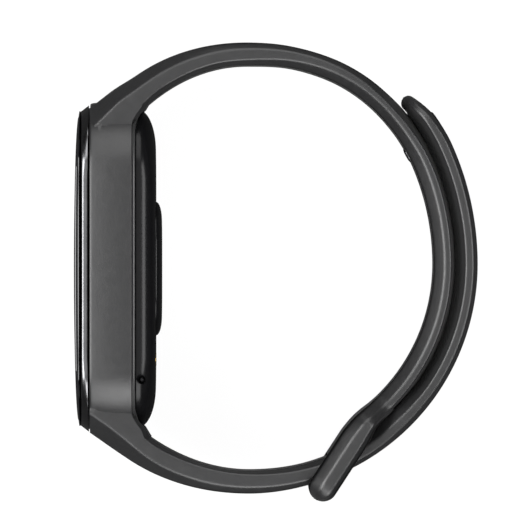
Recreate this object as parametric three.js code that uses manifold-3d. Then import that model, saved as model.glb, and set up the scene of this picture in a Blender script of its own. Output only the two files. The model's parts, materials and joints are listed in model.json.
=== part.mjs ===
// Fitness tracker band: a pill-shaped tracker capsule held in a moulded strap, closed and lying on its side.
// Millimetres. +X runs from the screen through the wrist to the clasp, +Y to the capsule's twelve o'clock
// end, and +Z along the axis of the wrist opening. The origin is the centre of the sensor window's face.

import * as THREE from 'three';
import { mergeVertices } from 'three/addons/utils/BufferGeometryUtils.js';
import Module from 'manifold-3d';

const wasm = await Module();
wasm.setup();

const degree = Math.PI / 180;

// ---- Driving dimensions: tracker capsule, with depths measured along X ----

const glassFront = -12.5;
const glassBack = -11.62;
const bezelFront = -11.52;
const bezelBack = -10.55;
const bezelHalfLength = 23.3;
const bezelHalfWidth = 10.35;
const glassEdgeRun = 4.6; // how far the rounded glass edge reaches in from the outline
const glassEdgeDepth = 1.95;
const bodyFront = -9.2;
const bodyBack = -0.88;
const bodyHalfLength = 22.6;
const bodyHalfWidth = 9.65;
const bodyEndRun = 5.7; // rounding of the back at the two ends, along the length
const bodySideRun = 2.8; // the same rounding along the two sides
const bodyEdgeDepth = 2.5;
const bumpHalfLength = 9.5;
const bumpHalfWidth = 6.8;
const bumpEdgeRun = 2.6;
const lensHalfLength = 6.6;
const lensHalfWidth = 3.9;
const lensBack = -1.2;
const cavityStep = -3.4; // depth where the hollow narrows towards the back
const cavityFloor = -1.9;
const displayHalfLength = 20.5;
const displayHalfWidth = 7.5;
const boardFront = -8.6;
const boardBack = -7.8;
const motorX = -12.6; // along the capsule's length
const motorDepth = -5.75;
const microphoneX = -15.75;
const microphoneDepth = -2.82;
const contactX = -12.9;
const contactSpacing = 5;

// ---- Driving dimensions: strap ----

const strapHalfWidth = 8;
const cradleFront = -10.26;
const cradleBack = -4.28;
const cradleHalfLength = 23.9;
const cradleHalfWidth = 11.1;
const openingHalfLength = 22.9;
const openingHalfWidth = 9.95;
const rootThickness = 4.4;
const crownThickness = 3.25; // over the top and bottom of the wrist opening
const claspThickness = 3;
const tipThickness = 1.9;
const keeperThickness = 4.1;
const edgeRun = 1.6; // how far the edge bevel reaches across the strap's width
const edgeDrop = 0.8; // how much of the thickness the bevel takes off each face
const splitGap = 0.2; // between stretches of strap that are moulded as one
const hingeGap = 0.3; // between stretches that bend on each other
const layerGap = 0.35; // between the tail and the loop around it
const rootStraight = 9;

const claspCentre = { x: 12.37, y: 0.65 }; // centre of the lower right bend of both layers
const sideCentre = { x: 3.4, y: 0.65 }; // centre of the upper right curve of both layers
const tailRadius = 30.93; // about claspCentre
const tailUpperRadius = 39.9; // about sideCentre, like the next radius and angle
const armUpperRadius = 36.64;
const lockAngle = 26.3; // where the stud's hole is
const studOrigin = { x: 3.99, y: -0.73 }; // the stud's own axis runs out from here
const studAngle = 28.6;
const studCapRadius = 3.8;
const holePitch = 5.14;
const holesAboveStud = 1;
const holesBelowStud = 7;
const holeHalfLength = 1.9;
const holeHalfWidth = 1.5;
const counterboreGrowth = 0.6;
const counterboreDepth = 0.6;

// ---- Solids ----

// Turns a closed three.js geometry into a solid that can be joined and cut.
function solidOf(geometry) {
  const bare = geometry.clone();
  bare.deleteAttribute('normal');
  bare.deleteAttribute('uv');
  const merged = mergeVertices(bare, 1e-5);
  return new wasm.Manifold(new wasm.Mesh({
    numProp: 3,
    vertProperties: new Float32Array(merged.attributes.position.array),
    triVerts: new Uint32Array(merged.index.array),
  }));
}

function geometryOf(solid) {
  const mesh = solid.getMesh();
  const geometry = new THREE.BufferGeometry();
  geometry.setAttribute('position', new THREE.BufferAttribute(mesh.vertProperties, 3));
  geometry.setIndex(new THREE.BufferAttribute(mesh.triVerts, 1));
  geometry.computeVertexNormals();
  return geometry;
}

function cut(blank, ...tools) {
  return tools.reduce((left, tool) => left.subtract(tool), blank);
}

// ---- Outlines and plain blocks ----

function pill(halfLength, halfWidth) {
  const straight = halfLength - halfWidth;
  const shape = new THREE.Shape();
  shape.absarc(straight, 0, halfWidth, -Math.PI / 2, Math.PI / 2, false);
  shape.absarc(-straight, 0, halfWidth, Math.PI / 2, Math.PI * 1.5, false);
  shape.closePath();
  return shape;
}

function rectangle(lowX, highX, lowY, highY) {
  const shape = new THREE.Shape();
  shape.moveTo(lowX, lowY);
  shape.lineTo(highX, lowY);
  shape.lineTo(highX, highY);
  shape.lineTo(lowX, highY);
  shape.closePath();
  return shape;
}

function outline(points) {
  return new THREE.Shape(points.map(([x, y]) => new THREE.Vector2(x, y)));
}

function plate(shape, low, high, curveSegments = 6) {
  const depth = high - low;
  const geometry = new THREE.ExtrudeGeometry(shape, { depth, bevelEnabled: false, curveSegments });
  geometry.translate(0, 0, low);
  return geometry;
}

// A plate whose front and back edges are rounded by a quarter ellipse, run wide and drop deep.
function roundedPlate(shape, low, high, run, drop, bevelSegments = 3, curveSegments = 6) {
  const geometry = new THREE.ExtrudeGeometry(shape, {
    depth: high - low - 2 * drop,
    bevelEnabled: true,
    bevelThickness: drop,
    bevelSize: run,
    bevelOffset: -run,
    bevelSegments,
    curveSegments,
  });
  geometry.translate(0, 0, low + drop);
  return geometry;
}

function block(lowX, highX, lowY, highY, lowZ, highZ) {
  const geometry = new THREE.BoxGeometry(highX - lowX, highY - lowY, highZ - lowZ);
  geometry.translate((lowX + highX) / 2, (lowY + highY) / 2, (lowZ + highZ) / 2);
  return geometry;
}

function disc(x, y, radius, low, high, sides = 16) {
  const geometry = new THREE.CylinderGeometry(radius, radius, high - low, sides);
  geometry.rotateX(Math.PI / 2);
  geometry.translate(x, y, (low + high) / 2);
  return geometry;
}

function lathe(points, sides = 16) {
  return new THREE.LatheGeometry(points.map(([x, y]) => new THREE.Vector2(x, y)), sides);
}

// Extrudes a side profile, drawn as length against depth, across the capsule's width.
function acrossWidth(shape, halfWidth) {
  const geometry = plate(shape, 0, 2 * halfWidth);
  geometry.rotateX(Math.PI / 2);
  geometry.translate(0, halfWidth, 0);
  return geometry;
}

// ---- Scene helpers ----

function finish(color, roughness, metalness = 0) {
  return new THREE.MeshStandardMaterial({ color, roughness, metalness });
}

const finishes = {
  strap: () => finish(0x303032, 0.75),
  glass: () => finish(0x050506, 0.06),
  casing: () => finish(0x0c0c0e, 0.22),
  board: () => finish(0x14482c, 0.5),
  chip: () => finish(0x1b1b1d, 0.55),
  polyimide: () => finish(0x8a5a1e, 0.45),
  steel: () => finish(0xa8a9ac, 0.35, 1),
  gold: () => finish(0xd2a548, 0.3, 1),
  darkMetal: () => finish(0x4a4b4f, 0.25, 1),
  battery: () => finish(0xb4b6ba, 0.4, 0.6),
  frame: () => finish(0x2a2b2e, 0.6),
  greenLed: () => finish(0x9fd8a4, 0.3),
  photodiode: () => finish(0x10131c, 0.2),
};

function add(group, name, geometry, material) {
  const mesh = new THREE.Mesh(geometry, material);
  mesh.name = name;
  group.add(mesh);
}

// ---- Tracker capsule: local x along the length, y across the width, z from the glass to the wrist ----

function capsuleFront(low, high) {
  const outer = pill(bezelHalfLength, bezelHalfWidth);
  const behind = -6;
  const blank = roundedPlate(outer, glassFront, behind, glassEdgeRun, glassEdgeDepth, 4);
  return solidOf(blank).intersect(solidOf(block(-30, 30, -15, 15, low, high)));
}

function coverGlass() {
  return geometryOf(capsuleFront(glassFront - 1, glassBack));
}

function frontBezel() {
  const flange = capsuleFront(bezelFront, bezelBack);
  const skirt = solidOf(plate(pill(bodyHalfLength, bodyHalfWidth), bezelBack - 0.2, bodyFront - 0.15));
  const window = plate(pill(displayHalfLength + 0.2, displayHalfWidth + 0.2), -13, -8);
  return geometryOf(cut(flange.add(skirt), solidOf(window)));
}

// Side profile of the body, as length against depth, with its two elliptical back corners.
function bodyProfile() {
  const flat = bodyHalfLength - bodyEndRun;
  const corner = bodyBack - bodyEdgeDepth;
  const shape = new THREE.Shape();
  shape.moveTo(-bodyHalfLength, bodyFront);
  shape.lineTo(bodyHalfLength, bodyFront);
  shape.lineTo(bodyHalfLength, corner);
  shape.absellipse(flat, corner, bodyEndRun, bodyEdgeDepth, 0, Math.PI / 2, false);
  shape.absellipse(-flat, corner, bodyEndRun, bodyEdgeDepth, Math.PI / 2, Math.PI, false);
  shape.closePath();
  return shape;
}

function microphoneHole() {
  const geometry = new THREE.CylinderGeometry(0.6, 0.6, 8, 12);
  geometry.translate(microphoneX, 8, microphoneDepth);
  return geometry;
}

function bodyShell() {
  const round = roundedPlate(pill(bodyHalfLength, bodyHalfWidth), -14, bodyBack, bodySideRun, bodyEdgeDepth);
  const casing = solidOf(round).intersect(solidOf(acrossWidth(bodyProfile(), 12)));
  const bump = roundedPlate(pill(bumpHalfLength, bumpHalfWidth), -4, 0, bumpEdgeRun, -bodyBack);
  const tools = [
    plate(pill(bodyHalfLength - 1.1, bodyHalfWidth - 1.1), -12, cavityStep),
    plate(pill(bodyHalfLength - 4, bodyHalfWidth - 2.05), -12, cavityFloor),
    plate(pill(lensHalfLength + 0.15, lensHalfWidth + 0.15), -4, 1),
    microphoneHole(),
    disc(contactX, contactSpacing / 2, 1.2, -4, 1),
    disc(contactX, -contactSpacing / 2, 1.2, -4, 1),
  ];
  return geometryOf(cut(casing.add(solidOf(bump)), ...tools.map(solidOf)));
}

function innerFrame() {
  const ring = cut(
    solidOf(plate(pill(20.9, 7.95), -9.15, -4.4)),
    solidOf(plate(pill(19.9, 6.95), -12, -2)),
  );
  return geometryOf(ring.add(solidOf(block(-8.2, -7.6, -7.2, 7.2, -7.5, -4.4))));
}

function displayFlex() {
  const ribbon = outline([
    [8, -9.95], [18, -9.95], [18, -9.2], [14.5, -9.2],
    [14.5, -9.35], [17.85, -9.35], [17.85, -9.8], [8, -9.8],
  ]);
  return acrossWidth(ribbon, 3);
}

function batteryFlex() {
  const ribbon = outline([[13.1, -7.65], [16, -7.65], [16, -7.5], [13.25, -7.5], [13.25, -6], [13.1, -6]]);
  return acrossWidth(ribbon, 2);
}

function shieldCan() {
  const outer = solidOf(block(-3, 6.4, -4.2, 4.2, -9.75, boardFront - 0.05));
  return geometryOf(cut(outer, solidOf(block(-2.8, 6.2, -4, 4, -9.55, -8))));
}

function lightBaffle() {
  const rim = solidOf(plate(pill(6.3, 3.6), -2.5, lensBack - 0.15));
  const windows = [
    block(-1.1, 1.1, 0.35, 2.35, -4, 0),
    block(-1.1, 1.1, -2.35, -0.35, -4, 0),
    block(2.1, 4.9, -1.4, 1.4, -4, 0),
    block(-4.9, -2.1, -1.4, 1.4, -4, 0),
  ];
  return geometryOf(cut(rim, ...windows.map(solidOf)));
}

function antenna() {
  const centre = 12.95;
  const strip = new THREE.Shape();
  strip.absarc(centre, 0, 8.25, -60 * degree, 60 * degree, false);
  strip.absarc(centre, 0, 8.1, 60 * degree, -60 * degree, true);
  strip.closePath();
  return plate(strip, -7.4, -4.6);
}

function motorWeight() {
  const sector = new THREE.Shape();
  sector.absarc(0, 0, 1.75, -15 * degree, 195 * degree, false);
  sector.absarc(0, 0, 0.45, 195 * degree, -15 * degree, true);
  sector.closePath();
  const geometry = plate(sector, 1.7, 4.2, 5);
  geometry.rotateX(-Math.PI / 2);
  geometry.translate(motorX, 0, motorDepth);
  return geometry;
}

function motorTurning(points) {
  const geometry = lathe(points, 14);
  geometry.translate(motorX, 0, motorDepth);
  return geometry;
}

function microphoneMesh() {
  const geometry = new THREE.CylinderGeometry(0.8, 0.8, 0.15, 12);
  geometry.translate(microphoneX, 4.2, microphoneDepth);
  return geometry;
}

function buildDisplay(group) {
  const length = displayHalfLength;
  const width = displayHalfWidth;
  add(group, 'cover_glass', coverGlass(), finishes.glass());
  const adhesive = plate(pill(length - 0.2, width - 0.2), glassBack + 0.08, glassBack + 0.26);
  add(group, 'display_adhesive', adhesive, finish(0xd8d8d0, 0.3));
  add(group, 'display_panel', plate(pill(length, width), glassBack + 0.35, -10.1), finish(0x08080c, 0.2));
  add(group, 'display_flex', displayFlex(), finishes.polyimide());
}

function buildCasing(group) {
  add(group, 'front_bezel', frontBezel(), finishes.casing());
  add(group, 'body_shell', bodyShell(), finishes.casing());
  add(group, 'inner_frame', innerFrame(), finishes.frame());
  add(group, 'antenna', antenna(), finishes.gold());
}

function buildElectronics(group) {
  const chipBack = boardFront - 0.1;
  add(group, 'main_board', plate(pill(19.6, 6.65), boardFront, boardBack), finishes.board());
  add(group, 'processor_chip', block(-1.2, 3.8, -2.5, 2.5, -9.35, chipBack), finishes.chip());
  add(group, 'shield_can', shieldCan(), finishes.steel());
  add(group, 'memory_chip', block(8.2, 11.8, -2.4, 2.4, -9.4, chipBack), finishes.chip());
  add(group, 'power_chip', block(-8.4, -5.2, 0.8, 4, -9.4, chipBack), finishes.chip());
  add(group, 'motion_sensor_chip', block(-8.2, -5.4, -3.4, -0.6, -9.3, chipBack), finishes.chip());
  add(group, 'board_connector', block(14.6, 17.4, -2.8, 2.8, -9.1, chipBack), finish(0xc8c2b0, 0.5));
  add(group, 'microphone', block(-17.2, -14.3, 2.9, 3.95, -3.7, -2), finishes.steel());
  add(group, 'microphone_mesh', microphoneMesh(), finishes.darkMetal());
}

function buildPower(group) {
  const cell = roundedPlate(rectangle(-7.2, 12.8, -6.4, 6.4), -7.5, -4, 0.5, 0.5, 2);
  add(group, 'battery_cell', cell, finishes.battery());
  add(group, 'battery_flex', batteryFlex(), finishes.polyimide());
  [1, -1].forEach((side, index) => {
    const y = side * contactSpacing / 2;
    const pad = disc(contactX, y, 1.05, cavityFloor + 0.1, bodyBack + 0.05, 20);
    const spring = disc(contactX, y, 0.6, -3.7, cavityFloor - 0.05);
    add(group, `charging_contact_${index + 1}`, pad, finishes.gold());
    add(group, `contact_spring_${index + 1}`, spring, finishes.gold());
  });
  add(group, 'charging_magnet_1', disc(12.6, 0, 2.4, -3.4, -2.2), finishes.steel());
  add(group, 'charging_magnet_2', disc(-9.3, 0, 1.6, -3.4, -2.2), finishes.steel());
}

function buildMotor(group) {
  const bored = [[0, -5.6], [1.7, -5.6], [1.7, 1], [0.5, 1], [0.5, -3], [0, -3]];
  const shaft = [[0, -2.8], [0.35, -2.8], [0.35, 4.6], [0, 4.6]];
  add(group, 'motor_case', motorTurning(bored), finishes.steel());
  add(group, 'motor_shaft', motorTurning(shaft), finishes.steel());
  add(group, 'motor_weight', motorWeight(), finishes.darkMetal());
}

function buildSensor(group) {
  const lens = plate(pill(lensHalfLength, lensHalfWidth), lensBack, 0);
  add(group, 'sensor_lens', lens, finishes.glass());
  add(group, 'light_baffle', lightBaffle(), finishes.frame());
  add(group, 'sensor_board', block(-6.6, 6.6, -3.7, 3.7, -3.1, -2.65), finishes.board());
  add(group, 'green_led_1', block(-0.8, 0.8, 0.65, 2.05, -2.55, -1.95), finishes.greenLed());
  add(group, 'green_led_2', block(-0.8, 0.8, -2.05, -0.65, -2.55, -1.95), finishes.greenLed());
  add(group, 'photodiode_1', block(2.4, 4.6, -1.1, 1.1, -2.55, -2.05), finishes.photodiode());
  add(group, 'photodiode_2', block(-4.6, -2.4, -1.1, 1.1, -2.55, -2.05), finishes.photodiode());
}

function buildTracker() {
  const group = new THREE.Group();
  group.quaternion.set(0.5, 0.5, 0.5, 0.5); // length to Y, width to Z, depth to X
  buildDisplay(group);
  buildCasing(group);
  buildElectronics(group);
  buildPower(group);
  buildMotor(group);
  buildSensor(group);
  return group;
}

// ---- Strap centrelines ----

// A chain of arcs and straights in the XY plane. Left turns are positive, in degrees.
class BandPath {
  constructor(x, y, heading, legs) {
    this.legs = [];
    this.length = 0;
    let place = { x, y, heading: heading * degree };
    for (const leg of legs) {
      const turn = (leg.turn ?? 0) * degree;
      const length = leg.length ?? Math.abs(turn) * leg.radius;
      this.legs.push({ start: this.length, length, turn, place });
      this.length += length;
      place = this.at(this.length);
    }
  }

  at(travel) {
    const leg = this.legs.findLast((one) => one.start <= travel) ?? this.legs[0];
    const along = travel - leg.start;
    const halfTurn = leg.turn * along / leg.length / 2;
    const chord = halfTurn === 0 ? along : along * Math.sin(halfTurn) / halfTurn;
    const direction = leg.place.heading + halfTurn;
    return {
      x: leg.place.x + chord * Math.cos(direction),
      y: leg.place.y + chord * Math.sin(direction),
      heading: leg.place.heading + 2 * halfTurn,
    };
  }

  // A point set off to the left of the path, or to the right where the distance is negative.
  beside(travel, distance) {
    const { x, y, heading } = this.at(travel);
    return new THREE.Vector2(x - distance * Math.sin(heading), y + distance * Math.cos(heading));
  }

  // Travels from one place to another in even steps of about 3 mm.
  steps(from, to) {
    const count = Math.ceil((to - from) / 3);
    return Array.from({ length: count + 1 }, (_, index) => from + (to - from) * index / count);
  }
}

// Each arm's path starts inside the cradle and goes round to its own end.
const upperPath = new BandPath(-9.892, 19.815, 38, [
  { length: rootStraight },
  { radius: 24, turn: -38 },
  { radius: 33.79, turn: -20 },
  { radius: 23, turn: -32 },
  { radius: 17.15, turn: -8 },
  { radius: armUpperRadius, turn: -30 },
  { radius: 27.65, turn: -50 },
  { radius: 10.4, turn: 16.9 },
  { length: 9.67 },
]);
const lowerPath = new BandPath(-10.948, -20.09, -35, [
  { length: rootStraight },
  { radius: 27.8, turn: 35 },
  { radius: tailRadius, turn: 90 },
  { radius: tailUpperRadius, turn: 29.2 },
  { radius: 10.2, turn: 27 },
]);

const upperCrown = upperPath.legs[2].start;
const studTravel = upperPath.legs[5].start + armUpperRadius * (30 - lockAngle) * degree;
const keeperTravel = upperPath.legs[7].start;
const keeperStart = keeperTravel - 2.2;
const lowerCrown = lowerPath.legs[2].start;
const firstBend = lowerPath.legs[2].start + tailRadius * (90 - 8.8) * degree;
const secondBend = lowerPath.legs[3].start + tailUpperRadius * 12.5 * degree;

function ease(value, from, to, low, high) {
  return THREE.MathUtils.lerp(low, high, THREE.MathUtils.smoothstep(value, from, to));
}

function upperThickness(travel) {
  if (travel < upperCrown) {
    return ease(travel, rootStraight, upperCrown, rootThickness, crownThickness);
  }
  if (travel < keeperStart) {
    return ease(travel, upperCrown, upperCrown + 8, crownThickness, claspThickness);
  }
  return ease(travel, keeperTravel - 0.5, keeperTravel + 5, claspThickness, keeperThickness);
}

function lowerThickness(travel) {
  if (travel < lowerCrown) {
    return ease(travel, rootStraight, lowerCrown, rootThickness, crownThickness);
  }
  if (travel < secondBend) {
    return ease(travel, lowerCrown, lowerCrown + 10, crownThickness, claspThickness);
  }
  return ease(travel, lowerPath.length - 8, lowerPath.length, claspThickness, tipThickness);
}

// Closed outline of one stretch of strap, seen along Z, with a square or a round far end.
function ribbonOutline(path, from, to, thickness, roundEnd) {
  const travels = path.steps(from, to);
  const left = travels.map((travel) => path.beside(travel, thickness(travel) / 2));
  const right = travels.map((travel) => path.beside(travel, -thickness(travel) / 2));
  const end = path.at(to);
  const radius = thickness(to) / 2;
  const cap = [60, 30, 0, -30, -60].map((angle) => new THREE.Vector2(
    end.x + radius * Math.cos(end.heading + angle * degree),
    end.y + radius * Math.sin(end.heading + angle * degree),
  ));
  return new THREE.Shape([...left, ...(roundEnd ? cap : []), ...right.reverse()]);
}

function ribbon(path, from, to, thickness, halfWidth, roundEnd = false) {
  const shape = ribbonOutline(path, from, to, thickness, roundEnd);
  return solidOf(roundedPlate(shape, -halfWidth, halfWidth, edgeDrop, edgeRun, 2));
}

// A local block behind or ahead of the cross plane at one travel, which squares off a ribbon there.
function endBlock(path, travel, ahead) {
  const reach = 12;
  const place = path.at(travel);
  const geometry = new THREE.BoxGeometry(reach, reach, 30);
  geometry.translate(ahead ? reach / 2 : -reach / 2, 0, 0);
  geometry.rotateZ(place.heading);
  geometry.translate(place.x, place.y, 0);
  return solidOf(geometry);
}

// A stretch of strap between two cross planes. Null leaves that end as the ribbon makes it.
function stretch(path, from, to, thickness, gapBefore, gapAfter) {
  const overrun = 2;
  const start = gapBefore === null ? from : from - overrun;
  const end = gapAfter === null ? to : to + overrun;
  let solid = ribbon(path, start, end, thickness, strapHalfWidth, gapAfter === null);
  if (gapBefore !== null) {
    solid = solid.subtract(endBlock(path, from + gapBefore / 2, false));
  }
  if (gapAfter !== null) {
    solid = solid.subtract(endBlock(path, to - gapAfter / 2, true));
  }
  return solid;
}

// Extrudes a plan outline, drawn as travel against width, along the strap's normal at one place.
function planPrism(shape, place, low, high) {
  const geometry = plate(shape, low, high, 4);
  const along = new THREE.Vector3(Math.cos(place.heading), Math.sin(place.heading), 0);
  const across = new THREE.Vector3(0, 0, 1);
  const normal = new THREE.Vector3().crossVectors(along, across);
  geometry.applyMatrix4(new THREE.Matrix4().makeBasis(along, across, normal));
  geometry.translate(place.x, place.y, 0);
  return solidOf(geometry);
}

// ---- Strap pieces ----

// Side profile of the cradle in the XY plane. Its wrist edge sweeps back into the arms at both ends.
function cradleProfile() {
  const end = cradleHalfLength + 1;
  const shape = new THREE.Shape();
  shape.moveTo(cradleFront, -end);
  shape.lineTo(-1.2, -end);
  shape.lineTo(-1.2, -24.2);
  shape.quadraticCurveTo(cradleBack, -22.4, cradleBack, -20);
  shape.lineTo(cradleBack, 20);
  shape.quadraticCurveTo(cradleBack, 22.4, -1.2, 24.2);
  shape.lineTo(-1.2, end);
  shape.lineTo(cradleFront, end);
  shape.closePath();
  return shape;
}

// A pill drawn like the capsule's, extruded along X.
function alongX(halfLength, halfWidth, low, high) {
  const geometry = plate(pill(halfLength, halfWidth), low, high, 8);
  geometry.applyQuaternion(new THREE.Quaternion(0.5, 0.5, 0.5, 0.5));
  return solidOf(geometry);
}

function cradle() {
  const side = solidOf(plate(cradleProfile(), -cradleHalfWidth, cradleHalfWidth, 3));
  const ring = side.intersect(alongX(cradleHalfLength, cradleHalfWidth, cradleFront, 4));
  const upperRoot = stretch(upperPath, 0.5, rootStraight + 2, upperThickness, null, splitGap);
  const lowerRoot = stretch(lowerPath, 0.5, rootStraight + 2, lowerThickness, null, splitGap);
  const front = solidOf(block(-20, cradleFront, -40, 40, -15, 15));
  const opening = alongX(openingHalfLength, openingHalfWidth, -20, 6);
  return geometryOf(cut(ring.add(upperRoot).add(lowerRoot), front, opening));
}

// One adjusting hole with its shallow step on the wrist side, which is to the right of the upper path.
function adjustingHole(travel) {
  const place = upperPath.at(travel);
  const half = upperThickness(travel) / 2;
  const through = planPrism(pill(holeHalfLength, holeHalfWidth), place, -3, 3);
  const length = holeHalfLength + counterboreGrowth;
  const width = holeHalfWidth + counterboreGrowth;
  return through.add(planPrism(pill(length, width), place, half - counterboreDepth, 3));
}

function upperArm() {
  const arm = stretch(upperPath, rootStraight + 2, keeperStart, upperThickness, splitGap, splitGap);
  const holes = [];
  for (let step = -holesAboveStud; step <= holesBelowStud; step += 1) {
    holes.push(adjustingHole(studTravel + step * holePitch));
  }
  return geometryOf(cut(arm, ...holes));
}

// The slot that the tail runs through: a curved gap around the lower right bend.
function tailPassage() {
  const inner = tailRadius - claspThickness / 2 - layerGap;
  const outer = tailRadius + claspThickness / 2 + layerGap;
  const halfWidth = strapHalfWidth + layerGap;
  const shape = new THREE.Shape();
  shape.absarc(claspCentre.x, claspCentre.y, outer, -100 * degree, -35 * degree, false);
  shape.absarc(claspCentre.x, claspCentre.y, inner, -35 * degree, -100 * degree, true);
  shape.closePath();
  return solidOf(plate(shape, -halfWidth, halfWidth, 10));
}

// Plan of the keeper loop: it widens from the arm, and its far corners are rounded.
function keeperPlan(start, end) {
  const corner = 3;
  const wide = cradleHalfWidth;
  const shape = new THREE.Shape();
  shape.moveTo(start, -strapHalfWidth);
  shape.lineTo(start + 4, -wide);
  shape.lineTo(end - corner, -wide);
  shape.absarc(end - corner, -wide + corner, corner, -Math.PI / 2, 0, false);
  shape.absarc(end - corner, wide - corner, corner, 0, Math.PI / 2, false);
  shape.lineTo(start + 4, wide);
  shape.lineTo(start, strapHalfWidth);
  shape.closePath();
  return shape;
}

function keeperLoop() {
  const end = upperPath.length;
  const limb = ribbon(upperPath, keeperStart - 2, end, upperThickness, cradleHalfWidth, true);
  const bendEnd = upperPath.legs[8].start;
  const reach = end - bendEnd + keeperThickness / 2;
  const plan = planPrism(keeperPlan(keeperStart - bendEnd, reach), upperPath.at(bendEnd), -8, 8);
  const start = endBlock(upperPath, keeperStart + splitGap / 2, false);
  return geometryOf(cut(limb.intersect(plan), start, tailPassage()));
}

// Cutter for the stud in the tail: a seat for its cap, a step for its collar and a hole for its post.
function studSeat() {
  const seatRadius = studCapRadius + 0.15;
  const bored = [[0, 36], [1.1, 36], [1.1, 39.1], [1.65, 39.1], [1.65, 40.2]];
  const geometry = lathe([...bored, [seatRadius, 40.2], [seatRadius, 44], [0, 44]]);
  geometry.rotateZ((studAngle - 90) * degree);
  geometry.translate(studOrigin.x, studOrigin.y, 0);
  return solidOf(geometry);
}

// Plan of the tail's tongue, with its rounded end at zero travel.
function tonguePlan() {
  const corner = 5.5;
  const reach = 22;
  const shape = new THREE.Shape();
  shape.moveTo(-reach, -strapHalfWidth - 1);
  shape.lineTo(-corner, -strapHalfWidth);
  shape.absarc(-corner, -strapHalfWidth + corner, corner, -Math.PI / 2, 0, false);
  shape.absarc(-corner, strapHalfWidth - corner, corner, 0, Math.PI / 2, false);
  shape.lineTo(-reach, strapHalfWidth + 1);
  shape.closePath();
  return shape;
}

function tailTip() {
  const length = lowerPath.length;
  const blank = stretch(lowerPath, secondBend, length, lowerThickness, hingeGap, null);
  const tipPlace = lowerPath.at(length);
  const shifted = { ...tipPlace };
  shifted.x += Math.cos(tipPlace.heading) * tipThickness / 2;
  shifted.y += Math.sin(tipPlace.heading) * tipThickness / 2;
  const plan = planPrism(tonguePlan(), shifted, -10, 10);
  return geometryOf(blank.intersect(plan).subtract(studSeat()));
}

function buildStud() {
  const group = new THREE.Group();
  group.position.set(studOrigin.x, studOrigin.y, 0);
  group.rotation.z = (studAngle - 90) * degree;
  const rim = studCapRadius;
  const dome = [[rim, 41.1], [rim - 0.3, 41.3], [rim - 0.7, 41.39], [rim - 1.9, 41.49], [0, 41.55]];
  const cap = [[0, 40.35], [rim, 40.35], ...dome];
  const head = [[0, 34.95], [0.95, 34.95], [1.2, 35.15], [1.2, 35.5], [0.9, 35.75]];
  const collar = [[0.9, 39.25], [1.5, 39.25], [1.5, 40.1], [0, 40.1]];
  add(group, 'stud_cap', lathe(cap, 28), finishes.darkMetal());
  add(group, 'stud_post', lathe([...head, ...collar], 16), finishes.darkMetal());
  return group;
}

function buildStrap() {
  const group = new THREE.Group();
  const lowerArm = stretch(lowerPath, rootStraight + 2, firstBend, lowerThickness, splitGap, hingeGap);
  const tailMiddle = stretch(lowerPath, firstBend, secondBend, lowerThickness, hingeGap, hingeGap);
  add(group, 'strap_cradle', cradle(), finishes.strap());
  add(group, 'strap_upper_arm', upperArm(), finishes.strap());
  add(group, 'strap_keeper_loop', keeperLoop(), finishes.strap());
  add(group, 'strap_lower_arm', geometryOf(lowerArm), finishes.strap());
  add(group, 'strap_tail_middle', geometryOf(tailMiddle), finishes.strap());
  add(group, 'strap_tail_tip', tailTip(), finishes.strap());
  group.add(buildStud());
  return group;
}

const band = new THREE.Group();
band.add(buildTracker());
band.add(buildStrap());

export default band;
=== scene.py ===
"""Fitness tracker band, closed and lying on its side, in plain soft studio light.

Sizes are in millimetres and become metres where a mesh is made. +X runs from the screen through the wrist
to the clasp, +Y to the capsule's twelve o'clock end and +Z along the axis of the wrist opening.
"""

import json
import math

import bmesh
import bpy
import numpy as np
from mathutils import Matrix, Vector


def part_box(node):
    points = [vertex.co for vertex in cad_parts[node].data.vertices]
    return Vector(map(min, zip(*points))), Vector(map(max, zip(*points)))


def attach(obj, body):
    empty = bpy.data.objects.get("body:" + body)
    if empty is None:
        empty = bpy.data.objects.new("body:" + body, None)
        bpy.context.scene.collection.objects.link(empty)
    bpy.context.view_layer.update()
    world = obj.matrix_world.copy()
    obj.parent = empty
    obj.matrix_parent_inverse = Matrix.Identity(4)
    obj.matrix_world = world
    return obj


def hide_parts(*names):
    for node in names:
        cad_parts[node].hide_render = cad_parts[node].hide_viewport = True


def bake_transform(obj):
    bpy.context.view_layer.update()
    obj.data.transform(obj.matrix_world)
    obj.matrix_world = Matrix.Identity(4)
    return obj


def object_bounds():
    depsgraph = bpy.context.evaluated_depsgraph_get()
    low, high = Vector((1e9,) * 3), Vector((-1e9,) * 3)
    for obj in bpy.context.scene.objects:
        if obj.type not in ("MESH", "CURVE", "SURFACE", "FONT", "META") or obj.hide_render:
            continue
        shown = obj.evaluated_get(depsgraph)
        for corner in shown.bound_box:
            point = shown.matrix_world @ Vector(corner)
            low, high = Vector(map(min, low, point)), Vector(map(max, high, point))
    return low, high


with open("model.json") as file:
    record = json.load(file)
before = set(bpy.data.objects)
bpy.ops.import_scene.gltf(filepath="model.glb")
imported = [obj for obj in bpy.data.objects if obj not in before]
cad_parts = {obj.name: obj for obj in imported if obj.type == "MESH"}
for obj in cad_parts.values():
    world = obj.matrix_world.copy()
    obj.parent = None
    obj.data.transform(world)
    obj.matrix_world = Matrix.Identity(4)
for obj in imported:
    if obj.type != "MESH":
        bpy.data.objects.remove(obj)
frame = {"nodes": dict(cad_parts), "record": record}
cad_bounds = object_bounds()

MM = 0.001
DEGREE = math.pi / 180


def low(node):
    """Lowest corner of a CAD node, in millimetres."""
    return np.array(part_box(node)[0]) / MM


def high(node):
    """Highest corner of a CAD node, in millimetres."""
    return np.array(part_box(node)[1]) / MM


# ---- Driving dimensions of the capsule ----

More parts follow.
